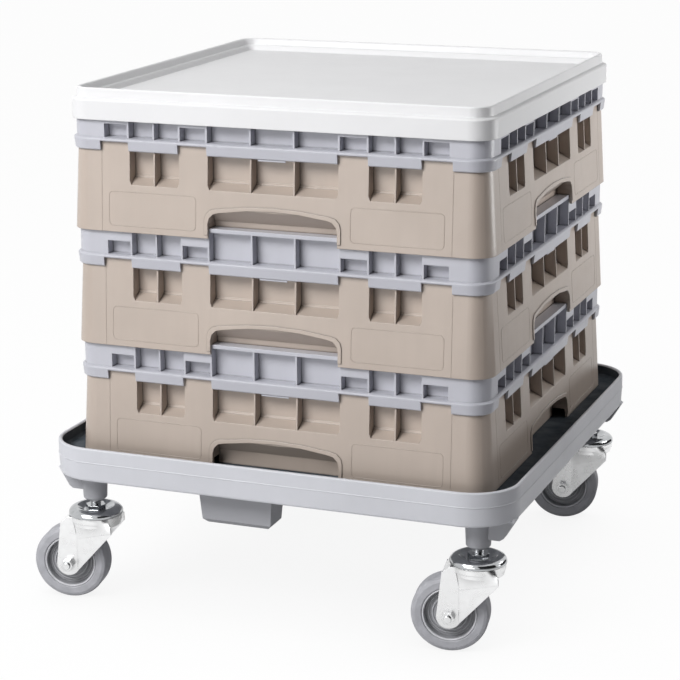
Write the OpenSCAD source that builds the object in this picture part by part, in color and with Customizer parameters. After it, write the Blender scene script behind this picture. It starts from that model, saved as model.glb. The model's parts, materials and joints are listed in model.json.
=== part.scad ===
// Three stacked glass racks with a lid, carried on a tray dolly with four swivel casters.
// Lengths are millimetres. The floor is height zero, the width runs along X and the front faces minus Y.

/* [Racks] */
// Half the width of a rack over its lower edge
rack_half = 251; // [210:1:300]
// Corner radius of a rack at its lower edge
rack_corner = 26; // [24:0.5:31]
// Thickness of the rack walls
rack_wall = 3; // [2.5:0.1:3.5]
// Height of a rack base
base_height = 102; // [90:0.5:120]
// How far the base wall leans in at its top
base_lean = 6; // [5:0.2:7]
// Rise of the extender above the base
extender_rise = 42; // [36:0.5:50]
// How far a rack nests over the one below
nest_depth = 10.5; // [9:0.5:12]
// Clearance round the wall that a rack nests over
nest_clearance = 0.6; // [0.4:0.1:0.8]
// Width of the ledge that stands on the rack below
ledge_width = 18; // [16:0.5:18]
// Thickness of that ledge
ledge_thickness = 3; // [2.5:0.5:4]
// Share of the half width at the outer end of the small tabs
tab_outer_share = 0.69; // [0.67:0.01:0.71]
// Share of the half width at the inner end of the small tabs
tab_inner_share = 0.448; // [0.43:0.002:0.46]
// Share of the half width at the ends of the middle tab
tab_middle_share = 0.308; // [0.30:0.002:0.32]

/* [Base pockets and hand holds] */
// Depth of the pockets in the base wall
base_pocket_depth = 13; // [11:0.5:14]
// Height of the front lip of the base pockets
pocket_lip_height = 54; // [48:0.5:62]
// Rise of the sloping pocket floor to its back
pocket_floor_rise = 8; // [6:0.5:10]
// Small step at the back of the pocket floor
pocket_step = 1.6; // [1:0.2:2]
// Round of the lower corners of the pockets
pocket_round = 5; // [4:0.5:6]
// Thickness of the walls behind and under the pockets
pocket_skin = 2.5; // [2:0.1:3]
// Thickness of the ribs between pockets
pocket_rib = 2; // [1.5:0.1:2.5]
// Share of the half width at the ends of a hand hold
hold_share = 0.307; // [0.29:0.001:0.32]
// Height of the hand hold arch at its middle
hold_height = 35; // [31:0.5:39]
// Fall of the arch from its middle to its shoulders
hold_fall = 5.5; // [4:0.5:7]
// Shoulder radius of the arch
hold_shoulder = 13; // [10:0.5:15]
// Depth of a hand hold
hold_depth = 19.5; // [18:0.5:22]
// Height of the upright back of a hand hold, under its sloping roof
hold_scoop = 17; // [14:0.5:19]
// Width of the bead round a hand hold
bead_width = 4; // [3:0.5:5]
// How far the bead stands proud
bead_proud = 1; // [0.6:0.1:1.4]

/* [Rack floor and dividers] */
// Share of the half width between floor bars
bar_share = 0.271; // [0.26:0.001:0.275]
// Width of a floor bar
bar_width = 5; // [4:0.5:6]
// Height of a floor bar
bar_height = 5; // [4:0.5:6]
// Gap between the long floor bars and the wall
bar_gap = 11; // [9:0.5:13]
// Share of the half width from the middle to a divider
divider_share = 0.303; // [0.29:0.001:0.306]
// Thickness of a divider
divider_thickness = 2; // [1.6:0.1:2.4]
// How far the dividers stop below the top of the extender
divider_drop = 6; // [4:0.5:10]
// Gap left round the dividers
divider_gap = 0.3; // [0.2:0.1:0.5]

/* [Extender] */
// How far the flange stays within the lower edge of the rack
flange_set = 1; // [0.6:0.1:1.4]
// Thickness of the flange above its tabs
flange_thickness = 4.5; // [4:0.5:5]
// Softening of the flange edge
flange_edge = 1; // [0.8:0.1:1.2]
// Length of the tabs below the flange
tab_drop = 10; // [8:0.5:12]
// Clearance between the tabs and the base wall
tab_clearance = 0.6; // [0.4:0.1:0.8]
// Lean of the tab face by its lower end
tab_draft = 1.2; // [0.8:0.1:1.4]
// Straight length of a corner tab on each side of its corner
tab_corner_lead = 17; // [13:0.5:21]
// Width of the tongue under the middle tab
tongue_width = 33; // [26:0.5:40]
// Drop of the tongue under the middle tab
tongue_drop = 2; // [1.5:0.1:2.5]
// Share of the tab's thickness that the tongue takes up
tongue_share = 0.8; // [0.7:0.01:0.9]
// Depth of the pockets in the extender
extender_pocket_depth = 12; // [10:0.5:13]
// Height of the short pockets
short_pocket_height = 15.5; // [13:0.5:18]
// Land between the short pockets and their neighbours
pocket_land = 2.2; // [1.8:0.1:2.6]
// Height of the rail along the top of the extender
top_rail = 4.5; // [4:0.5:6]

/* [Lid] */
// Height of the lid
lid_height = 35; // [33:0.5:38]
// How far the skirt hangs over the rack
lid_skirt = 18; // [16:0.5:20]
// Thickness of the lid walls
lid_wall = 2.5; // [2.2:0.1:2.7]
// Rise of the shoulder of the skirt above the seat of the lid
lid_shoulder = 4.5; // [4:0.5:6]
// How far the rim stands in from the skirt
lid_rim_inset = 6; // [5.4:0.2:6.6]
// Width of the lid's rim
lid_rim_width = 4.4; // [4:0.2:5]
// Drop of the rim's inner wall to its ledge
lid_ledge_drop = 7.8; // [7:0.2:8.6]
// Width of the ledge inside the rim
lid_ledge_width = 2.4; // [2:0.2:2.8]
// Run of the slope between the ledge and the recessed top
lid_slope_run = 3.6; // [3.2:0.2:4.2]
// Softening of the edges of the lid and of the tray rim
rim_edge = 1.2; // [0.9:0.1:1.5]

/* [Dolly tray] */
// How far the tray reaches past the racks on each side
tray_margin = 31; // [26:0.5:38]
// Corner radius of the tray in plan
tray_corner = 56; // [48:0.5:66]
// Depth of the tray body between its floor and its underside
tray_depth = 25; // [21.5:0.5:29]
// Rise of the rim above the tray floor
rim_height = 15; // [12:0.5:18]
// Thickness of the rim
tray_wall = 4.5; // [4:0.5:5.5]
// How far the moulding seam lies below the rim
seam_drop = 17; // [15:0.5:19]
// How far the ridge along the moulding seam stands proud
seam_ridge = 0.6; // [0.5:0.1:0.8]
// How far the lower wall leans in by the underside
side_draft = 0.8; // [0.6:0.1:1]
// Round of the lower outside edge
bottom_round = 2.5; // [2:0.1:3]
// Fillet between the tray floor and the rim
floor_fillet = 3; // [2:0.5:4]

/* [Caster bosses and lug] */
// Distance of each caster stem from the edge of the tray
stem_inset = 45; // [40:0.5:52]
// Drop of a boss below the tray
boss_drop = 35; // [30.5:0.5:41]
// Wall of a boss round the stem at its lower end
boss_wall = 8; // [7:0.5:9.5]
// Growth of the boss radius towards the tray
boss_draft = 1.5; // [1:0.1:2]
// Bevel round the lower end of a boss
boss_bevel = 2; // [1.5:0.1:3]
// Reach of the gusset beside a boss along its lower edge
gusset_reach = 29; // [25:0.5:33]
// How far the end of the gusset leans out on its way to the tray
gusset_flare = 15; // [12:0.5:16]
// Drop of the gusset below the tray
gusset_drop = 24; // [20:0.5:28]
// Width of the gusset
gusset_width = 13; // [11:0.5:15]
// Bevel of the lower edge of the gusset
gusset_bevel = 3; // [2:0.5:4]
// Width of the lug under the front edge
lug_width = 93; // [78:1:108]
// Depth of the lug from front to back
lug_depth = 40; // [34:0.5:46]
// Drop of the lug below the tray
lug_drop = 43; // [36:0.5:49]
// Distance of the lug's front from the edge of the tray
lug_inset = 26; // [22:0.5:30]
// Distance of the lug's left end from the middle
lug_left = 95; // [82:1:108]
// How far each side of the lug leans in
lug_taper = 4; // [3:0.5:5]
// Bevel round the lower edge of the lug
lug_bevel = 5; // [4:0.5:6]

/* [Casters] */
// Turn of the casters as photographed, in degrees
caster_yaw = 10; // [0:1:20]
// Distance from the stem to the axle
caster_trail = 30; // [25:0.5:35]
// Radius of the caster stem
stem_radius = 6; // [5:0.1:7]
// How far the stem runs up inside its boss
stem_grip = 31; // [26:0.5:35]
// Bare length of stem between the race cap and the boss
stem_exposed = 9; // [7.5:0.5:10.5]
// Radial clearance of fixed round fits
seat_clearance = 0.05; // [0.02:0.01:0.08]
// Radial clearance of turning fits
running_clearance = 0.05; // [0.02:0.01:0.09]
// Gap between the faces of the swivel
swivel_gap = 0.3; // [0.2:0.1:0.4]
// Size of the hexagon on the stem over its corners, as a radius
stem_hex_radius = 12; // [10:0.5:14]
// Height of the hexagon on the stem
stem_hex_height = 6; // [5:0.5:7]
// How far the riveted lower end stands out from the stem
rivet_lip = 3; // [2:0.5:4]
// Height of the riveted lower end
rivet_height = 5; // [4:0.5:5.5]
// Room between the hexagon and the slope of the dish in the race cap
dish_margin = 2.5; // [2:0.5:3.5]
// Run of the slope of the dish
dish_slope = 7.5; // [6:0.5:9]
// Depth of the dish below the crest
dish_depth = 4.5; // [4:0.5:5.5]
// Run of the rounded shoulder outside the crest of the race cap
cap_shoulder = 10; // [8:0.5:12]
// Height of the race cap
cap_height = 8.6; // [7.5:0.1:9.8]
// Height of the upright brim of the race cap
cap_brim = 1.6; // [1.3:0.1:1.9]
// How far the race cap stands out over the race
cap_lap = 1; // [0.6:0.1:1.4]
// Height of the race ring above the crown
race_height = 7.6; // [6.6:0.1:8.6]
// Bevel of the race ring
race_bevel = 1; // [0.8:0.1:1.2]
// How far the crown stays within the race ring
race_step = 2; // [1.6:0.1:2.4]
// Thickness of the fork crown under its race
crown_thickness = 4.5; // [4:0.5:5]
// Reach of the crown behind the axle
crown_tail = 8; // [6:0.5:9]
// Thickness of the fork legs
leg_thickness = 3; // [2.5:0.1:3.5]
// Space between the fork legs at the axle
leg_gap = 35; // [31:0.5:39]
// Radius of a leg round the axle
leg_end_radius = 14; // [12:0.5:16]
// Distance of the crease in a leg ahead of the axle
crease_lead = 11.5; // [10:0.5:13]
// How far a leg spreads between its crease and its front edge
leg_spread = 8.5; // [7:0.5:9.5]
// How far the front edge of a leg stays behind the edge of the crown
leg_setback = 3; // [2.5:0.5:4]
// Height of the front edge of a leg below the crown
leg_lip = 6; // [4:0.5:8]

/* [Wheels and axles] */
// Radius of the tyre
wheel_radius = 44; // [38:0.5:52]
// Room between the tyre and the fork crown
wheel_room = 4; // [3.5:0.5:6]
// Depth of the tyre over the wheel core
tyre_depth = 13; // [11:0.5:14]
// Gap between the side of the tyre and a fork leg
tyre_gap = 3; // [2.5:0.5:4]
// How far the rounded tread edge comes in from the side of the tyre
tread_edge = 4.5; // [3.5:0.5:5.5]
// Drop of the rounded tread edge
tyre_shoulder = 5; // [4:0.5:6]
// Softening of the inner edge of the tyre's face
tyre_edge = 1.2; // [0.9:0.1:1.5]
// How far the core's rim lies in from the side of the tyre
core_inset = 1.8; // [1.4:0.1:2.4]
// Radial thickness of the core's rim
core_rim = 2.4; // [2:0.1:3]
// Thickness of the core's web
web_thickness = 12; // [10:0.5:14]
// Share of the core's radius at the edge of the raised ring
hub_ring_share = 0.68; // [0.6:0.01:0.74]
// Height of the raised ring above the web
hub_ring_height = 2.5; // [2:0.1:3]
// Share of the core's radius at the edge of the hub
hub_share = 0.39; // [0.34:0.01:0.44]
// Gap between the end of the hub and a fork leg
hub_gap = 0.3; // [0.2:0.1:0.5]
// Radius of the axle bolt
axle_radius = 4; // [3.4:0.1:4.6]
// Wall of the nut and of the bolt head over their corners
nut_wall = 3.5; // [3:0.1:4]
// Thickness of the axle nut
nut_thickness = 7; // [6:0.5:8]
// Thickness of the bolt head
head_thickness = 5.5; // [5:0.5:6]
// Length of bolt that shows past the nut
bolt_end = 2.5; // [2:0.5:3]

/* [Hidden] */
$fn = 28;

// Cuts run this far past the faces that they open.
overrun = 2 * rack_wall;

// Plan sizes that follow from the width of a rack.
tray_half = rack_half + tray_margin;
stem_offset = tray_half - stem_inset;
tray_centre = tray_half - tray_corner;
rack_centre = rack_half - rack_corner;
base_top_half = rack_half - base_lean;
flange_half = rack_half - flange_set;
extender_half = base_half(nest_depth) - rack_wall - nest_clearance;
tab_inner_half = base_half(base_height - tab_drop) + tab_clearance;
tab_corner = rack_centre - tab_corner_lead;
tab_outer = rack_half * tab_outer_share;
tab_inner = rack_half * tab_inner_share;
tab_middle = rack_half * tab_middle_share;
hold_half = rack_half * hold_share;
bar_pitch = rack_half * bar_share;
divider_offset = rack_half * divider_share;

// Sizes of the casters that follow from one another.
rivet_radius = stem_radius + rivet_lip;
dish_radius = stem_hex_radius + dish_margin;
crest_radius = dish_radius + dish_slope;
cap_radius = crest_radius + cap_shoulder;
race_radius = cap_radius - cap_lap;
crown_radius = race_radius - race_step;
leg_front = crown_radius - leg_setback;
leg_outside = leg_gap / 2 + leg_thickness;
core_radius = wheel_radius - tyre_depth;
tyre_half = leg_gap / 2 - tyre_gap;
nut_radius = axle_radius + nut_wall;

// Heights, from the floor up.
crown_bottom = 2 * wheel_radius + wheel_room;
crown_top = crown_bottom + crown_thickness;
race_top = crown_top + race_height;
cap_bottom = race_top + swivel_gap;
cap_crest = cap_bottom + cap_height;
boss_bottom = cap_crest + stem_exposed;
tray_bottom = boss_bottom + boss_drop;
tray_floor = tray_bottom + tray_depth;
tray_rim = tray_floor + rim_height;
boss_top = tray_bottom + tray_depth / 2;

// Heights in a rack, from its lower edge up.
rack_height = base_height + extender_rise;
rack_pitch = rack_height - nest_depth;
floor_level = nest_depth + ledge_thickness;
bar_top = floor_level + bar_height;
flange_top = base_height + flange_thickness;
pocket_top = rack_height - top_rail;
pocket_floor_back = pocket_lip_height + pocket_floor_rise;
hold_roof = hold_height + pocket_skin;
divider_top = rack_height - divider_drop;
lid_level = tray_floor + 2 * rack_pitch + rack_height - lid_skirt;

// Backs of the pockets and of the hand holds.
block_back = base_top_half - base_pocket_depth - pocket_skin;
extender_back = extender_half - extender_pocket_depth - pocket_skin;
hold_back = rack_half - hold_depth - pocket_skin;

// The wheels trail past the tray on one side, so the plan is shifted to centre the whole outline.
wheel_reach = (caster_trail + wheel_radius) * cos(caster_yaw) + (tyre_half - tread_edge) * sin(caster_yaw);
plan_shift = max(stem_offset + wheel_reach - tray_half, 0) / 2;

// Shares that place the middle points of small rounds, and counts of points along curves.
round_out_share = 0.3;
round_in_share = 0.7;
arch_steps = 4;
shoulder_steps = 3;

// Half width of the leaning base wall at a height.
function base_half(z) = rack_half - base_lean * z / base_height;

// The hand hold arch, from its foot on one side to its foot on the other.
function arch_outline(half, top, foot) =
  let (side = half - hold_shoulder, spring = top - hold_fall - hold_shoulder)
  concat(
    [[-half, foot]],
    [for (i = [0 : shoulder_steps - 1])
      let (a = 90 * i / shoulder_steps)
      [-side - hold_shoulder * cos(a), spring + hold_shoulder * sin(a)]],
    [for (i = [0 : arch_steps])
      let (s = 2 * i / arch_steps - 1)
      [s * side, top - hold_fall * s * s]],
    [for (i = [shoulder_steps - 1 : -1 : 0])
      let (a = 90 * i / shoulder_steps)
      [side + hold_shoulder * cos(a), spring + hold_shoulder * sin(a)]],
    [[half, foot]]
  );

// A profile of radius and height along the straight part of the side that faces plus X.
module along_straight(centre) {
  translate([centre, centre, 0])
    rotate([90, 0, 0])
      linear_extrude(height = 2 * centre)
        children();
}

// Part of a corner of that profile, from the side that faces plus X towards plus Y.
module round_corner(centre, turn) {
  translate([centre, centre, 0])
    rotate_extrude(angle = turn)
      children();
}

// One side of a ring, with half of the corner at each end.
module along_side(centre) {
  along_straight(centre)
    children();
  for (s = [0, 1])
    mirror([0, s, 0])
      round_corner(centre, 45)
        children();
}

// A whole ring.
module around(centre) {
  for (q = [0 : 3])
    rotate([0, 0, 90 * q]) {
      along_straight(centre)
        children();
      round_corner(centre, 90)
        children();
    }
}

// Draws a flat outline of Y and Z and gives it a depth along X.
module facing_out(from, depth) {
  translate([from, 0, 0])
    rotate([90, 0, 90])
      linear_extrude(height = depth)
        children();
}

// Draws a flat outline of X and Z and gives it a width along Y.
module across(from, to) {
  translate([0, to, 0])
    rotate([90, 0, 0])
      linear_extrude(height = to - from)
        children();
}

// Dolly tray

module tray_profile() {
  w = tray_corner - seam_ridge;
  seam = tray_rim - seam_drop;
  lower = w - side_draft;
  polygon([
    [0, tray_bottom],
    [lower - bottom_round, tray_bottom],
    [lower - bottom_round * round_out_share, tray_bottom + bottom_round * round_out_share],
    [lower, tray_bottom + bottom_round],
    [w, seam - seam_ridge],
    [w + seam_ridge, seam],
    [w, seam + seam_ridge],
    [w, tray_rim - rim_edge],
    [w - rim_edge, tray_rim],
    [w - tray_wall + rim_edge, tray_rim],
    [w - tray_wall, tray_rim - rim_edge],
    [w - tray_wall, tray_floor + floor_fillet],
    [w - tray_wall - floor_fillet, tray_floor],
    [0, tray_floor]
  ]);
}

module boss_profile() {
  end = stem_radius + boss_wall;
  polygon([
    [0, boss_bottom],
    [end - boss_bevel, boss_bottom],
    [end, boss_bottom + boss_bevel],
    [end + boss_draft, tray_bottom],
    [end + boss_draft, boss_top],
    [0, boss_top]
  ]);
}

// The gusset that runs from a boss to the lower edge of the tray.
module gusset() {
  foot = tray_bottom - gusset_drop;
  across(-gusset_width / 2, gusset_width / 2)
    polygon([
      [0, foot],
      [gusset_reach - gusset_bevel, foot],
      [gusset_reach + gusset_bevel / 2, foot + gusset_bevel],
      [gusset_reach + gusset_flare, tray_bottom + bottom_round / 2],
      [gusset_reach, boss_top],
      [0, boss_top]
    ]);
}

// Front view of the lug from one distance to another, narrowing downwards.
module lug_outline(from, to) {
  foot = tray_bottom - lug_drop;
  polygon([
    [from, boss_top],
    [from + lug_taper, foot + lug_bevel],
    [from + lug_taper + lug_bevel, foot],
    [to - lug_taper - lug_bevel, foot],
    [to - lug_taper, foot + lug_bevel],
    [to, boss_top]
  ]);
}

module lug() {
  front = lug_inset - tray_half;
  intersection() {
    across(front, front + lug_depth)
      lug_outline(-lug_left, lug_width - lug_left);
    facing_out(-lug_left, lug_width)
      lug_outline(front, front + lug_depth);
  }
}

module at_stems() {
  for (x = [0, 1])
    for (y = [-1, 1])
      mirror([x, 0, 0])
        translate([stem_offset, y * stem_offset, 0])
          children();
}

module tray() {
  difference() {
    union() {
      around(tray_centre)
        tray_profile();
      translate([-tray_centre, -tray_centre, tray_bottom])
        cube([2 * tray_centre, 2 * tray_centre, tray_depth]);
      at_stems() {
        rotate_extrude()
          boss_profile();
        gusset();
      }
      lug();
    }
    at_stems()
      translate([0, 0, boss_bottom - overrun])
        cylinder(r = stem_radius + seat_clearance, h = overrun + stem_grip + swivel_gap);
  }
}

// Casters, drawn with the stem on the Z axis and the wheel trailing towards minus X

module stem() {
  rivet_top = crown_bottom - swivel_gap;
  rivet_bottom = rivet_top - rivet_height;
  top = boss_bottom + stem_grip;
  rotate_extrude()
    polygon([
      [0, rivet_bottom],
      [stem_radius, rivet_bottom],
      [rivet_radius, rivet_bottom + rivet_height * round_in_share],
      [rivet_radius, rivet_top],
      [stem_radius, rivet_top],
      [stem_radius, top],
      [0, top]
    ]);
  translate([0, 0, cap_crest - dish_depth])
    cylinder(r = stem_hex_radius, h = stem_hex_height, $fn = 6);
}

module race_cap() {
  hole = stem_radius + seat_clearance;
  dish = cap_crest - dish_depth;
  brim = cap_bottom + cap_brim;
  rotate_extrude()
    polygon(concat(
      [[hole, cap_bottom], [cap_radius, cap_bottom]],
      [for (turn = [0 : 7.5 : 90])
        [crest_radius + cap_shoulder * cos(turn), brim + (cap_crest - brim) * sin(turn)]],
      [[dish_radius, dish], [hole, dish]]
    ));
}

// Side view of a fork leg: round the axle, up the rear edge, and along the slanting lower edge.
module leg_outline() {
  low = leg_end_radius * round_in_share;
  translate([-caster_trail, wheel_radius])
    circle(r = leg_end_radius);
  polygon([
    [-caster_trail - leg_end_radius, wheel_radius],
    [-caster_trail - crown_tail, crown_top],
    [leg_front, crown_top],
    [leg_front, crown_bottom - leg_lip],
    [-caster_trail + low, wheel_radius - low],
    [-caster_trail, wheel_radius]
  ]);
}

// Plan of one leg: flat by the axle, then spread from the crease to the front edge.
module leg_plan() {
  inner = leg_gap / 2;
  crease = crease_lead - caster_trail;
  rear = -caster_trail - 2 * leg_end_radius;
  front = leg_front + overrun;
  polygon([
    [rear, inner],
    [crease, inner],
    [front, inner + leg_spread],
    [front, leg_outside + leg_spread],
    [crease, leg_outside],
    [rear, leg_outside]
  ]);
}

module fork_leg() {
  intersection() {
    across(0, leg_outside + leg_spread + overrun)
      leg_outline();
    linear_extrude(height = crown_top)
      leg_plan();
  }
}

module fork() {
  shoulder = race_top - race_bevel;
  difference() {
    union() {
      rotate_extrude()
        polygon([
          [0, crown_bottom],
          [crown_radius, crown_bottom],
          [crown_radius, crown_top],
          [race_radius, crown_top + race_bevel],
          [race_radius, shoulder],
          [race_radius - race_bevel, race_top],
          [0, race_top]
        ]);
      across(-leg_outside, leg_outside)
        polygon([
          [-caster_trail - crown_tail, crown_bottom],
          [0, crown_bottom],
          [0, shoulder],
          [-crown_radius, shoulder],
          [-caster_trail - crown_tail, crown_top - race_bevel]
        ]);
      fork_leg();
      mirror([0, 1, 0])
        fork_leg();
    }
    translate([0, 0, crown_bottom - overrun])
      cylinder(r = stem_radius + running_clearance, h = race_top - crown_bottom + 2 * overrun);
    on_axle()
      translate([0, 0, -leg_outside - overrun])
        cylinder(r = axle_radius + seat_clearance, h = 2 * (leg_outside + overrun));
  }
}

// Lays a shape drawn along Z onto the axle, with its lower end to the front.
module on_axle() {
  translate([-caster_trail, 0, wheel_radius])
    rotate([-90, 0, 0])
      children();
}

module axle_bolt() {
  front = leg_outside + nut_thickness + bolt_end;
  on_axle() {
    translate([0, 0, -front])
      cylinder(r = axle_radius, h = front + leg_outside + head_thickness / 2);
    translate([0, 0, leg_outside])
      cylinder(r = nut_radius, h = head_thickness, $fn = 6);
  }
}

module axle_nut() {
  on_axle()
    translate([0, 0, -leg_outside - nut_thickness])
      difference() {
        cylinder(r = nut_radius, h = nut_thickness, $fn = 6);
        translate([0, 0, -overrun])
          cylinder(r = axle_radius + seat_clearance, h = nut_thickness + 2 * overrun);
      }
}

// Revolves a profile round the axle from the points of one half, mirrored for the other.
module wheel_revolve(half) {
  count = len(half);
  on_axle()
    rotate_extrude()
      polygon(concat(half, [for (i = [count - 1 : -1 : 0]) [half[i][0], -half[i][1]]]));
}

module wheel_core() {
  hub_end = leg_gap / 2 - hub_gap;
  web = web_thickness / 2;
  ring = web + hub_ring_height;
  rim = tyre_half - core_inset;
  inside = core_radius - core_rim;
  wheel_revolve([
    [axle_radius + running_clearance, hub_end],
    [core_radius * hub_share, hub_end],
    [core_radius * hub_share, ring],
    [core_radius * hub_ring_share, ring],
    [core_radius * hub_ring_share, web],
    [inside - core_rim / 2, web],
    [inside, rim],
    [core_radius, rim]
  ]);
}

module tyre() {
  flat = tyre_half - tread_edge;
  drop = wheel_radius - tyre_shoulder;
  wheel_revolve([
    [core_radius, tyre_half - tyre_edge],
    [core_radius + tyre_edge, tyre_half],
    [drop, tyre_half],
    [drop + tyre_shoulder * round_in_share, flat + tread_edge * round_in_share],
    [wheel_radius, flat]
  ]);
}

// Rack base, one side at a time, drawn facing plus X with its lower edge at height zero

module base_profile() {
  top = base_top_half - rack_centre;
  polygon([
    [rack_corner, 0],
    [top, base_height],
    [top - rack_wall, base_height],
    [rack_corner - rack_wall, 0]
  ]);
}

// The ledge along the straight part of the wall.
module base_ledge() {
  wall = base_half(floor_level) - rack_wall;
  translate([wall - ledge_width, -rack_centre, nest_depth])
    cube([ledge_width + rack_wall / 2, 2 * rack_centre, ledge_thickness]);
}

// Solid behind a group of pockets, between two distances from the middle of the side.
module pocket_block(from, to) {
  foot = pocket_lip_height - 2 * pocket_skin;
  across(from - pocket_skin, to + pocket_skin)
    polygon([
      [base_half(foot) - rack_wall / 2, foot],
      [base_top_half - rack_wall / 2, base_height],
      [block_back, base_height],
      [block_back, pocket_floor_back - pocket_skin]
    ]);
}

// Room of a group of pockets: a sloping floor inside, rounded lower corners outside.
module pocket_room(from, to) {
  back = block_back + pocket_skin;
  mouth = rack_half + overrun;
  lip = base_half(pocket_lip_height);
  slope = pocket_floor_rise / (lip - back);
  open = base_height + overrun;
  round_low = pocket_lip_height + pocket_round * round_out_share;
  round_in = pocket_round * round_out_share;
  intersection() {
    across(from, to)
      polygon([
        [mouth, pocket_lip_height - slope * (mouth - lip)],
        [back + pocket_step, pocket_floor_back - slope * pocket_step],
        [back + pocket_step, pocket_floor_back],
        [back, pocket_floor_back + pocket_step],
        [back, open],
        [mouth, open]
      ]);
    facing_out(back - overrun, mouth - back + overrun)
      polygon([
        [from, open],
        [from, pocket_lip_height + pocket_round],
        [from + round_in, round_low],
        [from + pocket_round, pocket_lip_height - overrun],
        [to - pocket_round, pocket_lip_height - overrun],
        [to - round_in, round_low],
        [to, pocket_lip_height + pocket_round],
        [to, open]
      ]);
  }
}

// A rib across the pockets, flush with the leaning wall.
module base_rib(at) {
  back = block_back + pocket_skin / 2;
  across(at - pocket_rib / 2, at + pocket_rib / 2)
    polygon([
      [base_half(pocket_lip_height), pocket_lip_height],
      [base_top_half, base_height],
      [back, base_height],
      [back, pocket_floor_back]
    ]);
}

// A hand hold, or its shell: an arch in front, and behind it a sloping roof over an upright back.
module hold_shape(half, top, skin, foot, mouth) {
  back = rack_half - hold_depth - skin;
  slope = (hold_height - hold_scoop) / hold_depth;
  intersection() {
    facing_out(back, mouth - back)
      polygon(arch_outline(half, top, foot));
    across(-half, half)
      polygon([
        [back, foot],
        [back, hold_scoop + skin],
        [mouth, hold_scoop + skin + slope * (mouth - back)],
        [mouth, foot]
      ]);
  }
}

// The raised bead round a hand hold, laid on the leaning wall.
module hold_bead() {
  translate([rack_half, 0, 0])
    rotate([0, -atan(base_lean / base_height), 0])
      facing_out(-rack_wall / 2, rack_wall / 2 + bead_proud)
        difference() {
          polygon(arch_outline(hold_half + bead_width, hold_height + bead_width, bead_width));
          polygon(arch_outline(hold_half, hold_height, 0));
        }
}

module rack_base_side() {
  pair = (tab_inner + tab_outer) / 2;
  shell_half = hold_half + pocket_skin;
  difference() {
    union() {
      along_side(rack_centre)
        base_profile();
      base_ledge();
      pocket_block(-tab_middle, tab_middle);
      pocket_block(tab_inner, tab_outer);
      pocket_block(-tab_outer, -tab_inner);
      hold_shape(shell_half, hold_roof, pocket_skin, nest_depth, base_half(hold_roof) - rack_wall / 2);
      translate([hold_back, -hold_half - pocket_skin / 2, 0])
        cube([pocket_skin, 2 * hold_half + pocket_skin, floor_level]);
    }
    pocket_room(-tab_middle, tab_middle);
    pocket_room(tab_inner, tab_outer);
    pocket_room(-tab_outer, -tab_inner);
    hold_shape(hold_half, hold_height, 0, -overrun, rack_half + overrun);
  }
  for (at = [-pair, -tab_middle / 3, tab_middle / 3, pair])
    base_rib(at);
  hold_bead();
}

// Rack floor, a grid of bars that stands on the ledge and stops short of the hand holds

module rack_floor() {
  short_half = hold_back - divider_gap;
  long_half = base_half(floor_level) - rack_wall - bar_gap;
  for (turn = [0, 90])
    rotate([0, 0, turn])
      for (i = [-3 : 3]) {
        clear = abs(i * bar_pitch) > hold_half + 2 * pocket_skin;
        half = clear ? long_half : short_half;
        translate([-half, i * bar_pitch - bar_width / 2, floor_level])
          cube([2 * half, bar_width, bar_height]);
      }
}

// Dividers, half lapped where they cross

module divider_outline(slot_from_top) {
  middle = (bar_top + divider_top) / 2;
  half = min(block_back, extender_back, hold_back) - divider_gap;
  slot = divider_thickness + 2 * divider_gap;
  start = slot_from_top ? middle - divider_gap / 2 : bar_top - overrun;
  difference() {
    translate([-half, bar_top])
      square([2 * half, divider_top - bar_top]);
    for (s = [-1, 1])
      translate([s * divider_offset - slot / 2, start])
        square([slot, divider_top - middle + overrun + divider_gap / 2]);
  }
}

// The two strips that run one way, cut by slots from above or from below.
module divider_pair(slot_from_top) {
  for (s = [-1, 1])
    across(s * divider_offset - divider_thickness / 2, s * divider_offset + divider_thickness / 2)
      divider_outline(slot_from_top);
}

module rack_dividers() {
  divider_pair(true);
  rotate([0, 0, 90])
    divider_pair(false);
}

// Extender, the flanged ring that raises a rack, one side at a time

module extender_profile() {
  wall = extender_half - rack_centre;
  lip = flange_half - rack_centre;
  seat = base_top_half - rack_wall - rack_centre;
  polygon([
    [seat, base_height],
    [lip - flange_edge, base_height],
    [lip, base_height + flange_edge],
    [lip, flange_top - 2 * flange_edge],
    [lip - flange_edge, flange_top - flange_edge],
    [wall, flange_top],
    [wall, rack_height],
    [wall - rack_wall, rack_height],
    [wall - rack_wall, flange_top],
    [seat, flange_top]
  ]);
}

module tab_profile() {
  inner = tab_inner_half - rack_centre;
  lip = flange_half - rack_centre;
  foot = base_height - tab_drop;
  polygon([
    [inner, foot],
    [lip - tab_draft - flange_edge, foot],
    [lip - tab_draft, foot + flange_edge],
    [lip, base_height + flange_edge],
    [inner, base_height + flange_edge]
  ]);
}

// A straight tab between two distances from the middle of the side.
module side_tab(from, to) {
  translate([rack_centre, 0, 0])
    across(from, to)
      tab_profile();
}

// The tab that runs from the side round half of the corner.
module corner_tab() {
  side_tab(tab_corner, rack_centre);
  round_corner(rack_centre, 45)
    tab_profile();
}

// The small tongue under the middle tab.
module tongue() {
  foot = base_height - tab_drop;
  thickness = (flange_half - tab_draft - flange_edge - tab_inner_half) * tongue_share;
  translate([tab_inner_half, -tongue_width / 2, foot - tongue_drop])
    cube([thickness, tongue_width, tongue_drop + flange_edge]);
}

// Room of one pocket, between two distances from the middle of the side.
module extender_pocket(from, to, top) {
  translate([extender_back + pocket_skin, from, flange_top])
    cube([extender_pocket_depth + overrun, to - from, top - flange_top]);
}

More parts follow.
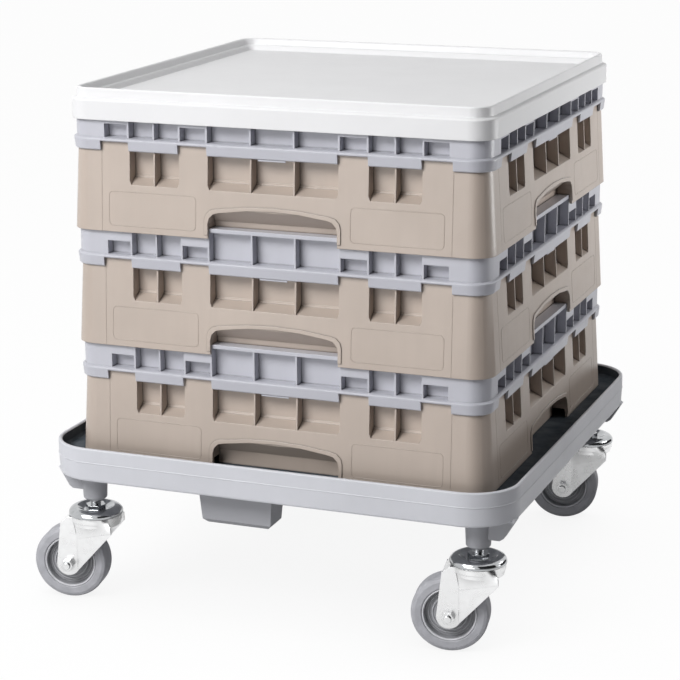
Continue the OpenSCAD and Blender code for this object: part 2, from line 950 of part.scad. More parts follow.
module extender_pockets() {
  half_rib = pocket_rib / 2;
  pair = (tab_inner + tab_outer) / 2;
  third = tab_middle / 3;
  short_top = flange_top + short_pocket_height;
  extender_pocket(-third + half_rib, third - half_rib, pocket_top);
  for (s = [0, 1])
    mirror([0, s, 0]) {
      extender_pocket(third + half_rib, tab_middle, pocket_top);
      extender_pocket(tab_middle + pocket_land, tab_inner - pocket_land, short_top);
      extender_pocket(tab_inner, pair - half_rib, pocket_top);
      extender_pocket(pair + half_rib, tab_outer, pocket_top);
      extender_pocket(tab_outer + pocket_land, tab_corner - 2 * pocket_land, short_top);
    }
}

module rack_extender_side() {
  block_depth = extender_half - rack_wall / 2 - extender_back;
  difference() {
    union() {
      along_side(rack_centre)
        extender_profile();
      side_tab(-tab_middle, tab_middle);
      tongue();
      for (s = [0, 1])
        mirror([0, s, 0]) {
          side_tab(tab_inner, tab_outer);
          corner_tab();
        }
      translate([extender_back, -tab_corner, base_height])
        cube([block_depth, 2 * tab_corner, extender_rise]);
    }
    extender_pockets();
  }
}

// Lid, a skirted cover with a raised rim round a recessed top, drawn from its lower edge

module lid_profile() {
  skirt = rack_corner;
  rim = skirt - lid_rim_inset;
  inner = rim - lid_rim_width;
  ledge = lid_height - lid_ledge_drop;
  slope_top = inner - lid_ledge_width;
  recess = slope_top - lid_ledge_width - lid_slope_run;
  shoulder = lid_skirt + lid_shoulder;
  polygon([
    [skirt - lid_wall, 0],
    [skirt, 0],
    [skirt, shoulder - rim_edge],
    [skirt - rim_edge, shoulder],
    [rim + rim_edge / 2, shoulder + rim_edge],
    [rim, lid_height - rim_edge],
    [rim - rim_edge, lid_height],
    [inner + rim_edge, lid_height],
    [inner, lid_height - rim_edge],
    [slope_top, ledge],
    [slope_top - lid_ledge_width, ledge - rim_edge],
    [recess, lid_skirt + lid_wall],
    [0, lid_skirt + lid_wall],
    [0, lid_skirt],
    [recess + rim_edge, lid_skirt],
    [slope_top, ledge - lid_wall - rim_edge / 2],
    [slope_top + lid_wall, ledge - lid_wall],
    [inner + lid_wall / 2, lid_height - lid_wall],
    [rim - lid_wall, lid_height - lid_wall],
    [rim - lid_wall + rim_edge / 2, shoulder + rim_edge - lid_wall],
    [skirt - lid_wall, shoulder - lid_wall]
  ]);
}

module cover() {
  around(rack_centre)
    lid_profile();
  translate([-rack_centre, -rack_centre, lid_skirt])
    cube([2 * rack_centre, 2 * rack_centre, lid_wall]);
}

// Places

module in_plan() {
  translate([plan_shift, 0, 0])
    children();
}

module at_corner(x, y) {
  in_plan()
    translate([x * stem_offset, y * stem_offset, 0])
      rotate([0, 0, caster_yaw])
        children();
}

module at_rack(level, quarter = 0) {
  in_plan()
    translate([0, 0, tray_floor + level * rack_pitch])
      rotate([0, 0, 90 * quarter])
        children();
}

// Nodes

module dolly_tray() color("LightSlateGray") in_plan() tray();
module front_left_stem() color("Silver") at_corner(-1, -1) stem();
module front_left_race_cap() color("Silver") at_corner(-1, -1) race_cap();
module front_left_fork() color("Gainsboro") at_corner(-1, -1) fork();
module front_left_axle_bolt() color("Silver") at_corner(-1, -1) axle_bolt();
module front_left_axle_nut() color("Silver") at_corner(-1, -1) axle_nut();
module front_left_wheel_core() color("DimGray") at_corner(-1, -1) wheel_core();
module front_left_tyre() color("Gray") at_corner(-1, -1) tyre();
module front_right_stem() color("Silver") at_corner(1, -1) stem();
module front_right_race_cap() color("Silver") at_corner(1, -1) race_cap();
module front_right_fork() color("Gainsboro") at_corner(1, -1) fork();
module front_right_axle_bolt() color("Silver") at_corner(1, -1) axle_bolt();
module front_right_axle_nut() color("Silver") at_corner(1, -1) axle_nut();
module front_right_wheel_core() color("DimGray") at_corner(1, -1) wheel_core();
module front_right_tyre() color("Gray") at_corner(1, -1) tyre();
module back_left_stem() color("Silver") at_corner(-1, 1) stem();
module back_left_race_cap() color("Silver") at_corner(-1, 1) race_cap();
module back_left_fork() color("Gainsboro") at_corner(-1, 1) fork();
module back_left_axle_bolt() color("Silver") at_corner(-1, 1) axle_bolt();
module back_left_axle_nut() color("Silver") at_corner(-1, 1) axle_nut();
module back_left_wheel_core() color("DimGray") at_corner(-1, 1) wheel_core();
module back_left_tyre() color("Gray") at_corner(-1, 1) tyre();
module back_right_stem() color("Silver") at_corner(1, 1) stem();
module back_right_race_cap() color("Silver") at_corner(1, 1) race_cap();
module back_right_fork() color("Gainsboro") at_corner(1, 1) fork();
module back_right_axle_bolt() color("Silver") at_corner(1, 1) axle_bolt();
module back_right_axle_nut() color("Silver") at_corner(1, 1) axle_nut();
module back_right_wheel_core() color("DimGray") at_corner(1, 1) wheel_core();
module back_right_tyre() color("Gray") at_corner(1, 1) tyre();
module lower_rack_base_right() color("Tan") at_rack(0, 0) rack_base_side();
module lower_rack_base_back() color("Tan") at_rack(0, 1) rack_base_side();
module lower_rack_base_left() color("Tan") at_rack(0, 2) rack_base_side();
module lower_rack_base_front() color("Tan") at_rack(0, 3) rack_base_side();
module lower_rack_extender_right() color("LightGray") at_rack(0, 0) rack_extender_side();
module lower_rack_extender_back() color("LightGray") at_rack(0, 1) rack_extender_side();
module lower_rack_extender_left() color("LightGray") at_rack(0, 2) rack_extender_side();
module lower_rack_extender_front() color("LightGray") at_rack(0, 3) rack_extender_side();
module lower_rack_floor() color("Tan") at_rack(0) rack_floor();
module lower_rack_dividers() color("LightGray") at_rack(0) rack_dividers();
module middle_rack_base_right() color("Tan") at_rack(1, 0) rack_base_side();
module middle_rack_base_back() color("Tan") at_rack(1, 1) rack_base_side();
module middle_rack_base_left() color("Tan") at_rack(1, 2) rack_base_side();
module middle_rack_base_front() color("Tan") at_rack(1, 3) rack_base_side();
module middle_rack_extender_right() color("LightGray") at_rack(1, 0) rack_extender_side();
module middle_rack_extender_back() color("LightGray") at_rack(1, 1) rack_extender_side();
module middle_rack_extender_left() color("LightGray") at_rack(1, 2) rack_extender_side();
module middle_rack_extender_front() color("LightGray") at_rack(1, 3) rack_extender_side();
module middle_rack_floor() color("Tan") at_rack(1) rack_floor();
module middle_rack_dividers() color("LightGray") at_rack(1) rack_dividers();
module upper_rack_base_right() color("Tan") at_rack(2, 0) rack_base_side();
module upper_rack_base_back() color("Tan") at_rack(2, 1) rack_base_side();
module upper_rack_base_left() color("Tan") at_rack(2, 2) rack_base_side();
module upper_rack_base_front() color("Tan") at_rack(2, 3) rack_base_side();
module upper_rack_extender_right() color("LightGray") at_rack(2, 0) rack_extender_side();
module upper_rack_extender_back() color("LightGray") at_rack(2, 1) rack_extender_side();
module upper_rack_extender_left() color("LightGray") at_rack(2, 2) rack_extender_side();
module upper_rack_extender_front() color("LightGray") at_rack(2, 3) rack_extender_side();
module upper_rack_floor() color("Tan") at_rack(2) rack_floor();
module upper_rack_dividers() color("LightGray") at_rack(2) rack_dividers();
module lid() color("WhiteSmoke") in_plan() translate([0, 0, lid_level]) cover();

dolly_tray();
front_left_stem();
front_left_race_cap();
front_left_fork();
front_left_axle_bolt();
front_left_axle_nut();
front_left_wheel_core();
front_left_tyre();
front_right_stem();
front_right_race_cap();
front_right_fork();
front_right_axle_bolt();
front_right_axle_nut();
front_right_wheel_core();
front_right_tyre();
back_left_stem();
back_left_race_cap();
back_left_fork();
back_left_axle_bolt();
back_left_axle_nut();
back_left_wheel_core();
back_left_tyre();
back_right_stem();
back_right_race_cap();
back_right_fork();
back_right_axle_bolt();
back_right_axle_nut();
back_right_wheel_core();
back_right_tyre();
lower_rack_base_right();
lower_rack_base_back();
lower_rack_base_left();
lower_rack_base_front();
lower_rack_extender_right();
lower_rack_extender_back();
lower_rack_extender_left();
lower_rack_extender_front();
lower_rack_floor();
lower_rack_dividers();
middle_rack_base_right();
middle_rack_base_back();
middle_rack_base_left();
middle_rack_base_front();
middle_rack_extender_right();
middle_rack_extender_back();
middle_rack_extender_left();
middle_rack_extender_front();
middle_rack_floor();
middle_rack_dividers();
upper_rack_base_right();
upper_rack_base_back();
upper_rack_base_left();
upper_rack_base_front();
upper_rack_extender_right();
upper_rack_extender_back();
upper_rack_extender_left();
upper_rack_extender_front();
upper_rack_floor();
upper_rack_dividers();
lid();
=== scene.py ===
"""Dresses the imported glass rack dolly: finishes, small mouldings and threads, studio light and camera.

Lengths are metres in the row frame: the floor is height zero and the front faces minus Y.
"""
import json
import math

import bmesh
import bpy
from mathutils import Matrix, Vector

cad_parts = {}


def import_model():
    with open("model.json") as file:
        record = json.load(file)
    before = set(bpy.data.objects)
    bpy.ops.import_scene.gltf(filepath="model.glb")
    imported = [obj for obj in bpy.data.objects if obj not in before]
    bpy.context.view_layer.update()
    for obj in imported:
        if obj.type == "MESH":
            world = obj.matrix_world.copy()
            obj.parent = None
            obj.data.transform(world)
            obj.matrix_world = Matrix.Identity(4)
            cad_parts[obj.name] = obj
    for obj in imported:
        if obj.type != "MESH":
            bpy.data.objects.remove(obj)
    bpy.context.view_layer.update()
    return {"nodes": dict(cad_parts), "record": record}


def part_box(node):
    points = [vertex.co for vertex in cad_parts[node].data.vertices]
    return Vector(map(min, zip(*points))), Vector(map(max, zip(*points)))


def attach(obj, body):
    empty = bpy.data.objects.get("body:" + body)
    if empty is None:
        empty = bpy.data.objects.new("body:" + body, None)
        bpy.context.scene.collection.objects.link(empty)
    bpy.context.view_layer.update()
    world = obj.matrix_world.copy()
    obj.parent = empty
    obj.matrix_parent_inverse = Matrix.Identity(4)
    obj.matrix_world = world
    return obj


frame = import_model()

# Names

CORNERS = ("front_left", "front_right", "back_left", "back_right")
RACKS = ("lower", "middle", "upper")
BOTH_FACES = (1, -1)

# Sizes that repeat those of the part, worked out from its boxes where they can be

tray_low, tray_high = (Vector(corner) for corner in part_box("dolly_tray"))
PLAN_X = (tray_low.x + tray_high.x) / 2
TRAY_HALF = (tray_high.x - tray_low.x) / 2
TRAY_RIM = tray_high.z
TRAY_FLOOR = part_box("lower_rack_base_front")[0][2]
TRAY_CORNER = 0.056
TRAY_WALL = 0.0051
TRAY_UNDERSIDE = 0.157
RACK_HALF = 0.251
BASE_LEAN = 0.006
BASE_HEIGHT = 0.102
CASTER_TRAIL = 0.030
WHEEL_HEIGHT = 0.044
LEG_OUTSIDE = 0.0205
LEG_FRONT = 0.0260
LEG_SPREAD = 0.0085

# Camera, as found from the corners and edges of the racks in the photograph

CAMERA_PLACE = Vector((0.8984 + PLAN_X, -2.3528, 0.9445))
CAMERA_AZIMUTH = 21.278
CAMERA_ELEVATION = 14.844
CAMERA_ROLL = -0.363
CAMERA_LENS = 112.56
CAMERA_SENSOR = 36.0
CAMERA_FAR = 50.0


# Building materials

BEVEL_SAMPLES = 6
RECESS_SAMPLES = 6

# Places of a Mix node's sockets
MIX_AMOUNT = 0
MIX_VECTORS = (4, 5)
MIX_VECTOR_OUT = 1
MIX_COLOURS = (6, 7)
MIX_COLOUR_OUT = 2

# Cosines of the turn of a rounded edge's normal at which the mask of edges starts and is full
EDGE_STARTS = 0.995
EDGE_FULL = 0.80

# Openness at which the mask of corners and grooves starts and is full
OPENNESS = (0.85, 0.15)

# Width beside a mitre of a rack's rings in which edges aren't rounded, and over which that changes
MITRE_PLAIN = 0.0030
MITRE_CHANGE = 0.0010


def tint(colour, factor=1.0):
    """A colour times a factor, with its alpha."""
    red, green, blue = (min(channel * factor, 1.0) for channel in colour)
    return (red, green, blue, 1.0)


class Graph:
    """A material's node tree, with short ways to add and join its nodes."""

    def __init__(self, name):
        self.name = name
        self.material = bpy.data.materials.new(name)
        self.material.use_nodes = True
        self.tree = self.material.node_tree
        self.tree.nodes.clear()
        self.shader = self.add("ShaderNodeBsdfPrincipled")
        self.output = self.add("ShaderNodeOutputMaterial")
        self.join(self.shader.outputs["BSDF"], self.output.inputs["Surface"])
        self.place = self.add("ShaderNodeTexCoord").outputs["Object"]
        self.face_normal = self.add("ShaderNodeNewGeometry").outputs["Normal"]

    def add(self, kind, **settings):
        """A new node with its settings."""
        node = self.tree.nodes.new(kind)
        for key, value in settings.items():
            setattr(node, key, value)
        return node

    def join(self, source, target):
        """Links a socket, or sets a plain value."""
        if isinstance(source, bpy.types.NodeSocket):
            self.tree.links.new(source, target)
        else:
            target.default_value = source

    def feed(self, name, source):
        """Joins a source to one of the shader's inputs."""
        self.join(source, self.shader.inputs[name])

    def fed(self, name):
        """The socket that is joined to one of the shader's inputs."""
        return self.shader.inputs[name].links[0].from_socket

    def noise(self, size, detail, stretch=(1, 1, 1)):
        """Noise whose features measure about size, stretched along the axes."""
        mapping = self.add("ShaderNodeMapping")
        self.join(self.place, mapping.inputs["Vector"])
        mapping.inputs["Scale"].default_value = [1 / (size * share) for share in stretch]
        noise = self.add("ShaderNodeTexNoise")
        self.join(mapping.outputs["Vector"], noise.inputs["Vector"])
        noise.inputs["Scale"].default_value = 1.0
        noise.inputs["Detail"].default_value = detail
        return noise.outputs["Fac"]

    def math(self, operation, a, b=0.0):
        """Arithmetic on sockets or plain values."""
        node = self.add("ShaderNodeMath", operation=operation)
        self.join(a, node.inputs[0])
        self.join(b, node.inputs[1])
        return node.outputs[0]

    def times(self, a, b):
        """The product of two sockets or plain values."""
        return self.math("MULTIPLY", a, b)

    def spread(self, value, low, high, to_low=0.0, to_high=1.0):
        """Maps low..high to to_low..to_high and holds the ends."""
        node = self.add("ShaderNodeMapRange")
        self.join(value, node.inputs["Value"])
        node.inputs["From Min"].default_value = low
        node.inputs["From Max"].default_value = high
        node.inputs["To Min"].default_value = to_low
        node.inputs["To Max"].default_value = to_high
        return node.outputs["Result"]

    def cloud(self, size, detail, low, high, to_low=0.0, to_high=1.0, stretch=(1, 1, 1)):
        """Noise of about a size, with low..high of it mapped to to_low..to_high."""
        return self.spread(self.noise(size, detail, stretch), low, high, to_low, to_high)

    def mix(self, amount, a, b):
        """A colour between a and b."""
        node = self.add("ShaderNodeMix", data_type="RGBA")
        first, second = MIX_COLOURS
        self.join(amount, node.inputs[MIX_AMOUNT])
        self.join(a, node.inputs[first])
        self.join(b, node.inputs[second])
        return node.outputs[MIX_COLOUR_OUT]

    def split(self, vector):
        """The three parts of a vector."""
        node = self.add("ShaderNodeSeparateXYZ")
        self.join(vector, node.inputs[0])
        return node.outputs

    def in_plan(self):
        """Distances from the middle of the plan along X and Y, and the height."""
        x, y, z = self.split(self.place)
        return self.math("ABSOLUTE", self.math("SUBTRACT", x, PLAN_X)), self.math("ABSOLUTE", y), z

    def rounded(self, radius):
        """A normal that rounds crisp edges."""
        bevel = self.add("ShaderNodeBevel", samples=BEVEL_SAMPLES)
        bevel.inputs["Radius"].default_value = radius
        return bevel.outputs["Normal"]

    def plain_at_mitres(self, normal):
        """The same normal, left plain at the touching ends of a ring, which is one moulding in four nodes."""
        x, y, _ = self.in_plan()
        away = self.math("ABSOLUTE", self.math("SUBTRACT", x, y))
        node = self.add("ShaderNodeMix", data_type="VECTOR")
        first, second = MIX_VECTORS
        self.join(self.spread(away, MITRE_PLAIN, MITRE_PLAIN + MITRE_CHANGE), node.inputs[MIX_AMOUNT])
        self.join(self.face_normal, node.inputs[first])
        self.join(normal, node.inputs[second])
        return node.outputs[MIX_VECTOR_OUT]

    def edges(self, normal):
        """A mask that is 1 where a rounded normal turns away from the face."""
        dot = self.add("ShaderNodeVectorMath", operation="DOT_PRODUCT")
        self.join(normal, dot.inputs[0])
        self.join(self.face_normal, dot.inputs[1])
        return self.spread(dot.outputs["Value"], EDGE_STARTS, EDGE_FULL)

    def recess(self, reach, openness=OPENNESS):
        """A mask that is 1 deep in corners and grooves, where the materials paint shade."""
        node = self.add("ShaderNodeAmbientOcclusion", samples=RECESS_SAMPLES)
        node.inputs["Distance"].default_value = reach
        starts, full = openness
        return self.spread(node.outputs["AO"], starts, full)

    def bump(self, height, distance, normal):
        """A normal with relief of about a distance."""
        node = self.add("ShaderNodeBump")
        node.inputs["Strength"].default_value = 1.0
        node.inputs["Distance"].default_value = distance
        self.join(height, node.inputs["Height"])
        self.join(normal, node.inputs["Normal"])
        return node.outputs["Normal"]


# Moulded plastic

MOULDED_EDGE = 0.0011
FLOW_SHARE = 4
# Share of the paler edge colour, which is partly wear and partly a painted highlight
EDGE_WEAR_AND_HIGHLIGHT = 0.55
EDGE_POLISH = -0.08
# Tone of the painted shade in corners and grooves, as a share of the colour
RECESS_SHADE = 0.22
SCUFF_SMOOTHER = -0.03
SCUFF_ROUGHER = 0.05
GRAIN_RELIEF = 0.00012
WAVE_RELIEF = 0.00025


def moulded_colour(g, colour, streak, edge_gain, edge, painted_shade):
    """Mottling and flow streaks, paler on edges as wear and a painted highlight, and darker in corners as
    painted shade.
    """
    mottle = g.cloud(size=0.09, detail=3.0, low=0.35, high=0.65)
    base = g.mix(mottle, tint(colour, 1 - streak / 2), tint(colour, 1 + streak / 2))
    flow = g.cloud(size=0.012, detail=4.0, low=0.40, high=0.62, to_high=streak * FLOW_SHARE,
                   stretch=(1, 1, 14))
    base = g.mix(flow, base, tint(colour, 1 - streak))
    # Paler edges: partly wear, partly a painted highlight.
    base = g.mix(g.times(edge, EDGE_WEAR_AND_HIGHLIGHT), base, tint(colour, edge_gain))
    # Painted shade: darker deep in corners and grooves.
    return g.mix(painted_shade, base, tint(colour, RECESS_SHADE))


def moulded(name, colour, roughness, streak=0.06, edge_gain=1.18, recess=0.010, painted_shade_strength=0.45,
            openness=OPENNESS, mitred=False):
    """Moulded plastic: faint flow streaks and mottling, a fine grain, edges paled as wear and a painted
    highlight, and painted shade in corners.
    """
    g = Graph(name)
    normal = g.rounded(MOULDED_EDGE)
    if mitred:
        normal = g.plain_at_mitres(normal)
    edge = g.edges(normal)
    # Painted shade in corners and grooves, from how closed in they are.
    painted_shade = g.times(g.recess(recess, openness), painted_shade_strength)
    g.feed("Base Color", moulded_colour(g, colour, streak, edge_gain, edge, painted_shade))
    scuff = g.cloud(size=0.03, detail=3.0, low=0.30, high=0.75, to_low=roughness + SCUFF_SMOOTHER,
                    to_high=roughness + SCUFF_ROUGHER, stretch=(1, 1, 0.5))
    g.feed("Roughness", g.math("ADD", scuff, g.times(edge, EDGE_POLISH)))
    waves = g.bump(g.noise(size=0.05, detail=1.0), WAVE_RELIEF, normal)
    g.feed("Normal", g.bump(g.noise(size=0.0011, detail=3.0), GRAIN_RELIEF, waves))
    return g


def rack_plastic():
    """Beige of the rack bases and floors."""
    return moulded("rack_plastic", (0.480, 0.405, 0.350), 0.32, streak=0.07, recess=0.0022,
                   painted_shade_strength=0.95, openness=(0.92, 0.40), mitred=True)


def extender_plastic():
    """Bluish grey of the rack extenders and dividers."""
    return moulded("extender_plastic", (0.505, 0.508, 0.556), 0.34, streak=0.05, recess=0.0022,
                   painted_shade_strength=0.95, openness=(0.88, 0.30), mitred=True)


def lid_plastic():
    """White of the lid."""
    return moulded("lid_plastic", (0.772, 0.771, 0.779), 0.42, streak=0.02, painted_shade_strength=0.15)


def core_plastic():
    """Dark grey of the wheel cores."""
    return moulded("core_plastic", (0.320, 0.323, 0.342), 0.42)


def core_edge():
    """Paler grey of the raised rings on the wheel cores."""
    return moulded("core_edge", (0.440, 0.444, 0.466), 0.42)


# The tray

TRAY_GREY = (0.600, 0.607, 0.645)
# Painted shade of the tray's underside and the features under it
UNDERSIDE_SHADE_GREY = (0.350, 0.353, 0.376)
SLATE_DARK = (0.040, 0.052, 0.064)
SLATE_PALE = (0.052, 0.066, 0.080)
WELL_ROUGHER = 0.25
TRAY_SPECULAR = 0.50
WELL_SPECULAR = 0.04

# Distances over which the masks change: out from the inner wall, and below the rim, floor and underside
WALL_CHANGE = (0.0007, 0.0002)
RIM_CHANGE = (0.0010, 0.0022)
FLOOR_CHANGE = (0.0010, 0.0002)
UNDERSIDE_CHANGE = (0.0005, 0.0030)


def below(g, height, level, change):
    """A mask that goes from 0 to 1 between two distances below a level."""
    starts, full = change
    return g.spread(height, level - starts, level - full)


def tray_well(g):
    """A mask that is 1 in the well of the tray, inside its rim."""
    x, y, z = g.in_plan()
    centre = TRAY_HALF - TRAY_CORNER
    dx = g.math("MAXIMUM", g.math("SUBTRACT", x, centre), 0.0)
    dy = g.math("MAXIMUM", g.math("SUBTRACT", y, centre), 0.0)
    reach = g.math("SQRT", g.math("ADD", g.times(dx, dx), g.times(dy, dy)))
    inner = TRAY_CORNER - TRAY_WALL
    starts, full = WALL_CHANGE
    inside = g.spread(reach, inner + starts, inner + full)
    under_rim = below(g, z, TRAY_RIM, RIM_CHANGE)
    on_floor = below(g, z, TRAY_FLOOR, FLOOR_CHANGE)
    return g.times(g.times(inside, under_rim), on_floor)


def tray_plastic():
    """The tray's grey, darkened on its underside as painted shade, with the dark slate of its well inside the
    rim.
    """
    # Its edges are paled more than the racks' as a painted highlight, and its corners take stronger painted
    # shade.
    g = moulded("dolly_plastic", TRAY_GREY, 0.42, streak=0.05, edge_gain=1.35, painted_shade_strength=0.60)
    well = tray_well(g)
    height = g.in_plan()[2]
    # Painted shade: below the underside level the colour goes to the darker grey, where the tray shades it.
    under = below(g, height, TRAY_UNDERSIDE, UNDERSIDE_CHANGE)
    outside = g.mix(under, g.fed("Base Color"), tint(UNDERSIDE_SHADE_GREY))
    mottle = g.cloud(size=0.035, detail=4.0, low=0.35, high=0.70)
    slate = g.mix(mottle, tint(SLATE_DARK), tint(SLATE_PALE))
    worn = g.cloud(size=0.02, detail=4.0, low=0.35, high=0.70, to_low=0.90)
    g.feed("Base Color", g.mix(g.times(well, worn), outside, slate))
    g.feed("Roughness", g.math("ADD", g.fed("Roughness"), g.times(well, WELL_ROUGHER)))
    g.feed("Specular IOR Level", g.spread(well, 0.0, 1.0, TRAY_SPECULAR, WELL_SPECULAR))
    return g


# Plated steel

PLATED_EDGE = 0.0006
PLATED_RECESS = 0.006
# Share and colour of the painted shade in recesses
PLATED_PAINTED_SHADE = 0.35
PAINTED_SHADE_BLACK = (0.10, 0.10, 0.11)
DULL_SHADE = 0.55
HAZE_SMOOTH = 0.85
HAZE_ROUGH = 1.2


def plated(name, colour, roughness, cloud, spot, pit):
    """Plated steel: cloudy reflections, fine pits, a few dull spots and painted shade in recesses."""
    g = Graph(name)
    haze = g.noise(size=0.010, detail=4.0)
    base = g.mix(g.spread(haze, low=0.35, high=0.65), tint(colour, 1 - cloud), tint(colour))
    dull = g.cloud(size=0.004, detail=5.0, low=0.62, high=0.75)
    base = g.mix(g.times(dull, spot), base, tint(colour, DULL_SHADE))
    # Painted shade: darker towards black deep in recesses.
    base = g.mix(g.times(g.recess(PLATED_RECESS), PLATED_PAINTED_SHADE), base, tint(PAINTED_SHADE_BLACK))
    g.feed("Base Color", base)
    g.feed("Metallic", 1.0)
    smooth = roughness * HAZE_SMOOTH
    rough = roughness * HAZE_ROUGH
    g.feed("Roughness", g.spread(haze, low=0.30, high=0.70, to_low=smooth, to_high=rough))
    pits = g.noise(size=0.0009, detail=3.0)
    g.feed("Normal", g.bump(pits, pit, g.rounded(PLATED_EDGE)))
    return g


def zinc_steel():
    """Pale zinc of the forks."""
    return plated("zinc_steel", (0.864, 0.866, 0.870), 0.28, cloud=0.03, spot=0.04, pit=0.000006)


def bright_steel():
    """Bright dark plating of the stems, race caps and threads."""
    return plated("bright_steel", (0.520, 0.532, 0.545), 0.11, cloud=0.12, spot=0.15, pit=0.000010)


def nut_steel():
    """Bright pale plating of the axle bolts and nuts."""
    return plated("nut_steel", (0.840, 0.845, 0.850), 0.14, cloud=0.08, spot=0.10, pit=0.000010)


# Rubber

RUBBER_EDGE = 0.0012
RUBBER_WEAR = 0.40
RUBBER_WORN = 1.25
RUBBER_SCUFFED = 0.90
RUBBER_DUSTY = 1.08
# Reach, share and tone of the painted shade in recesses
RUBBER_RECESS = 0.006
RUBBER_PAINTED_SHADE = 0.60
RUBBER_SHADE_TONE = 0.25
RUBBER_RELIEF = 0.00006


def rubber(name, colour):
    """Grey rubber: scuffed and dusty, with a fine grain and painted shade in recesses."""
    g = Graph(name)
    normal = g.rounded(RUBBER_EDGE)
    dusty = g.noise(size=0.014, detail=5.0)
    dust = g.spread(dusty, low=0.35, high=0.70)
    base = g.mix(dust, tint(colour, RUBBER_SCUFFED), tint(colour, RUBBER_DUSTY))
    base = g.mix(g.times(g.edges(normal), RUBBER_WEAR), base, tint(colour, RUBBER_WORN))
    # Painted shade: darker deep in grooves and hollows.
    base = g.mix(g.times(g.recess(RUBBER_RECESS), RUBBER_PAINTED_SHADE), base, tint(colour, RUBBER_SHADE_TONE))
    g.feed("Base Color", base)
    g.feed("Roughness", g.spread(dusty, low=0.30, high=0.70, to_low=0.52, to_high=0.68))
    g.feed("Normal", g.bump(g.noise(size=0.0008, detail=3.0), RUBBER_RELIEF, normal))
    return g


def grey_rubber():
    """Grey of the tyres."""
    return rubber("grey_rubber", (0.420, 0.422, 0.450))


def pale_rubber():
    """Pale grey of the tyres' lips."""
    return rubber("pale_rubber", (0.660, 0.662, 0.690))


# Giving the nodes their finishes

FINISH_MAKERS = (
    tray_plastic, rack_plastic, extender_plastic, lid_plastic, core_plastic, core_edge,
    zinc_steel, bright_steel, nut_steel, grey_rubber, pale_rubber,
)
PALE_ENDINGS = ("_axle_bolt", "_axle_nut")

graphs = [make() for make in FINISH_MAKERS]
finishes = {graph.name: graph.material for graph in graphs}


def dress_nodes():
    """Gives each node the finish of its slot, but axle bolts and nuts a paler one."""
    slots = {entry["node"]: entry["material_slot"] for entry in frame["record"]["subparts"]}
    for name, node in frame["nodes"].items():
        finish = "nut_steel" if name.endswith(PALE_ENDINGS) else slots[name]
        node.data.materials.clear()
        node.data.materials.append(finishes[finish])


# Building small pieces

# Edges of a piece that turn more than this, in degrees, stay crisp
SHARP_ANGLE = 50.0


def add_piece(name, shape, body, slot, finish=None):
    """Makes an object of a bmesh, in the row frame, and lets it ride on a body."""
    bmesh.ops.recalc_face_normals(shape, faces=shape.faces)
    mesh = bpy.data.meshes.new(name)
    shape.to_mesh(mesh)
    shape.free()
    for polygon in mesh.polygons:
        polygon.use_smooth = True
    mesh.set_sharp_from_angle(angle=math.radians(SHARP_ANGLE))
    mesh.materials.append(finishes[finish or slot])
    piece = bpy.data.objects.new(name, mesh)
    bpy.context.scene.collection.objects.link(piece)
    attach(piece, body)


def join_rings(shape, rings, closed):
    """Faces between neighbouring rings of vertices, with caps where the run of rings is open."""
    count = len(rings[0])
    last = len(rings) if closed else len(rings) - 1
    for i in range(last):
        near = rings[i]
        far = rings[(i + 1) % len(rings)]
        for j in range(count):
            k = (j + 1) % count
            shape.faces.new((near[j], near[k], far[k], far[j]))
    if not closed:
        shape.faces.new(rings[0])
        shape.faces.new(rings[-1])


def polar(radius, angle, height):
    """A point at a radius and angle about the Z axis."""
    return Vector((radius * math.cos(angle), radius * math.sin(angle), height))


# Section of a low ridge, as shares of its width and of its height; the foot lies under the surface
RIDGE_SECTION = (
    (-0.5, -1.0), (-0.5, 0.0), (-0.30, 0.8), (0.0, 1.0), (0.30, 0.8), (0.5, 0.0), (0.5, -1.0),
)


def ridge(shape, path, out, width, height, closed):
    """A low rounded ridge along a path on a face that looks towards out."""
    rings = []
    for i, point in enumerate(path):
        ahead = path[(i + 1) % len(path)] if closed or i + 1 < len(path) else point
        behind = path[i - 1] if closed or i > 0 else point
        across = (ahead - behind).cross(out).normalized()
        section = [point + across * (width * a) + out * (height * h) for a, h in RIDGE_SECTION]
        rings.append([shape.verts.new(corner) for corner in section])
    join_rings(shape, rings, closed)


# Section of a screw thread, as shares of its depth and of its pitch; the foot lies under the surface
THREAD_SECTION = ((-0.3, -0.42), (1.0, -0.10), (1.0, 0.10), (-0.3, 0.42))
THREAD_STEPS = 20


def thread(shape, place, radius, depth, pitch, length):
    """A screw thread that rises along the Z axis of a placing matrix and fades at its ends."""
    rings = []
    half_turn = THREAD_STEPS / 2
    count = int(THREAD_STEPS * (length - pitch) / pitch)
    for i in range(count + 1):
        angle = 2 * math.pi * i / THREAD_STEPS
        rise = pitch * i / THREAD_STEPS + pitch / 2
        fade = min(1.0, i / half_turn, (count - i) / half_turn)
        ring = []
        for out, up in THREAD_SECTION:
            reach = radius + depth * (out * fade if out > 0 else out)
            ring.append(shape.verts.new(place @ polar(reach, angle, rise + up * pitch)))
        rings.append(ring)
    join_rings(shape, rings, False)


RING_STEPS = 72


def ring_of(shape, place, section):
    """A closed ring about the Z axis of a placing matrix, from a section of radius and height."""
    rings = []
    for i in range(RING_STEPS):
        angle = 2 * math.pi * i / RING_STEPS
        rings.append([shape.verts.new(place @ polar(r, angle, h)) for r, h in section])
    join_rings(shape, rings, True)


# Marks on the walls of a rack base: distance from the middle of the side, and height.
# A ridge has a width and a height.

PANEL_LOW = (0.092, 0.0075)
PANEL_HIGH = (0.199, 0.046)
PANEL_RADIUS = 0.005
PANEL_STEPS = 4
PANEL_RIDGE = (0.0011, 0.00018)
MOULD_LINE = 0.208
MOULD_LINE_FOOT = 0.0005
MOULD_LINE_LENGTH = 0.090
MOULD_LINE_STEPS = 8
MOULD_LINE_RIDGE = (0.0008, 0.00008)


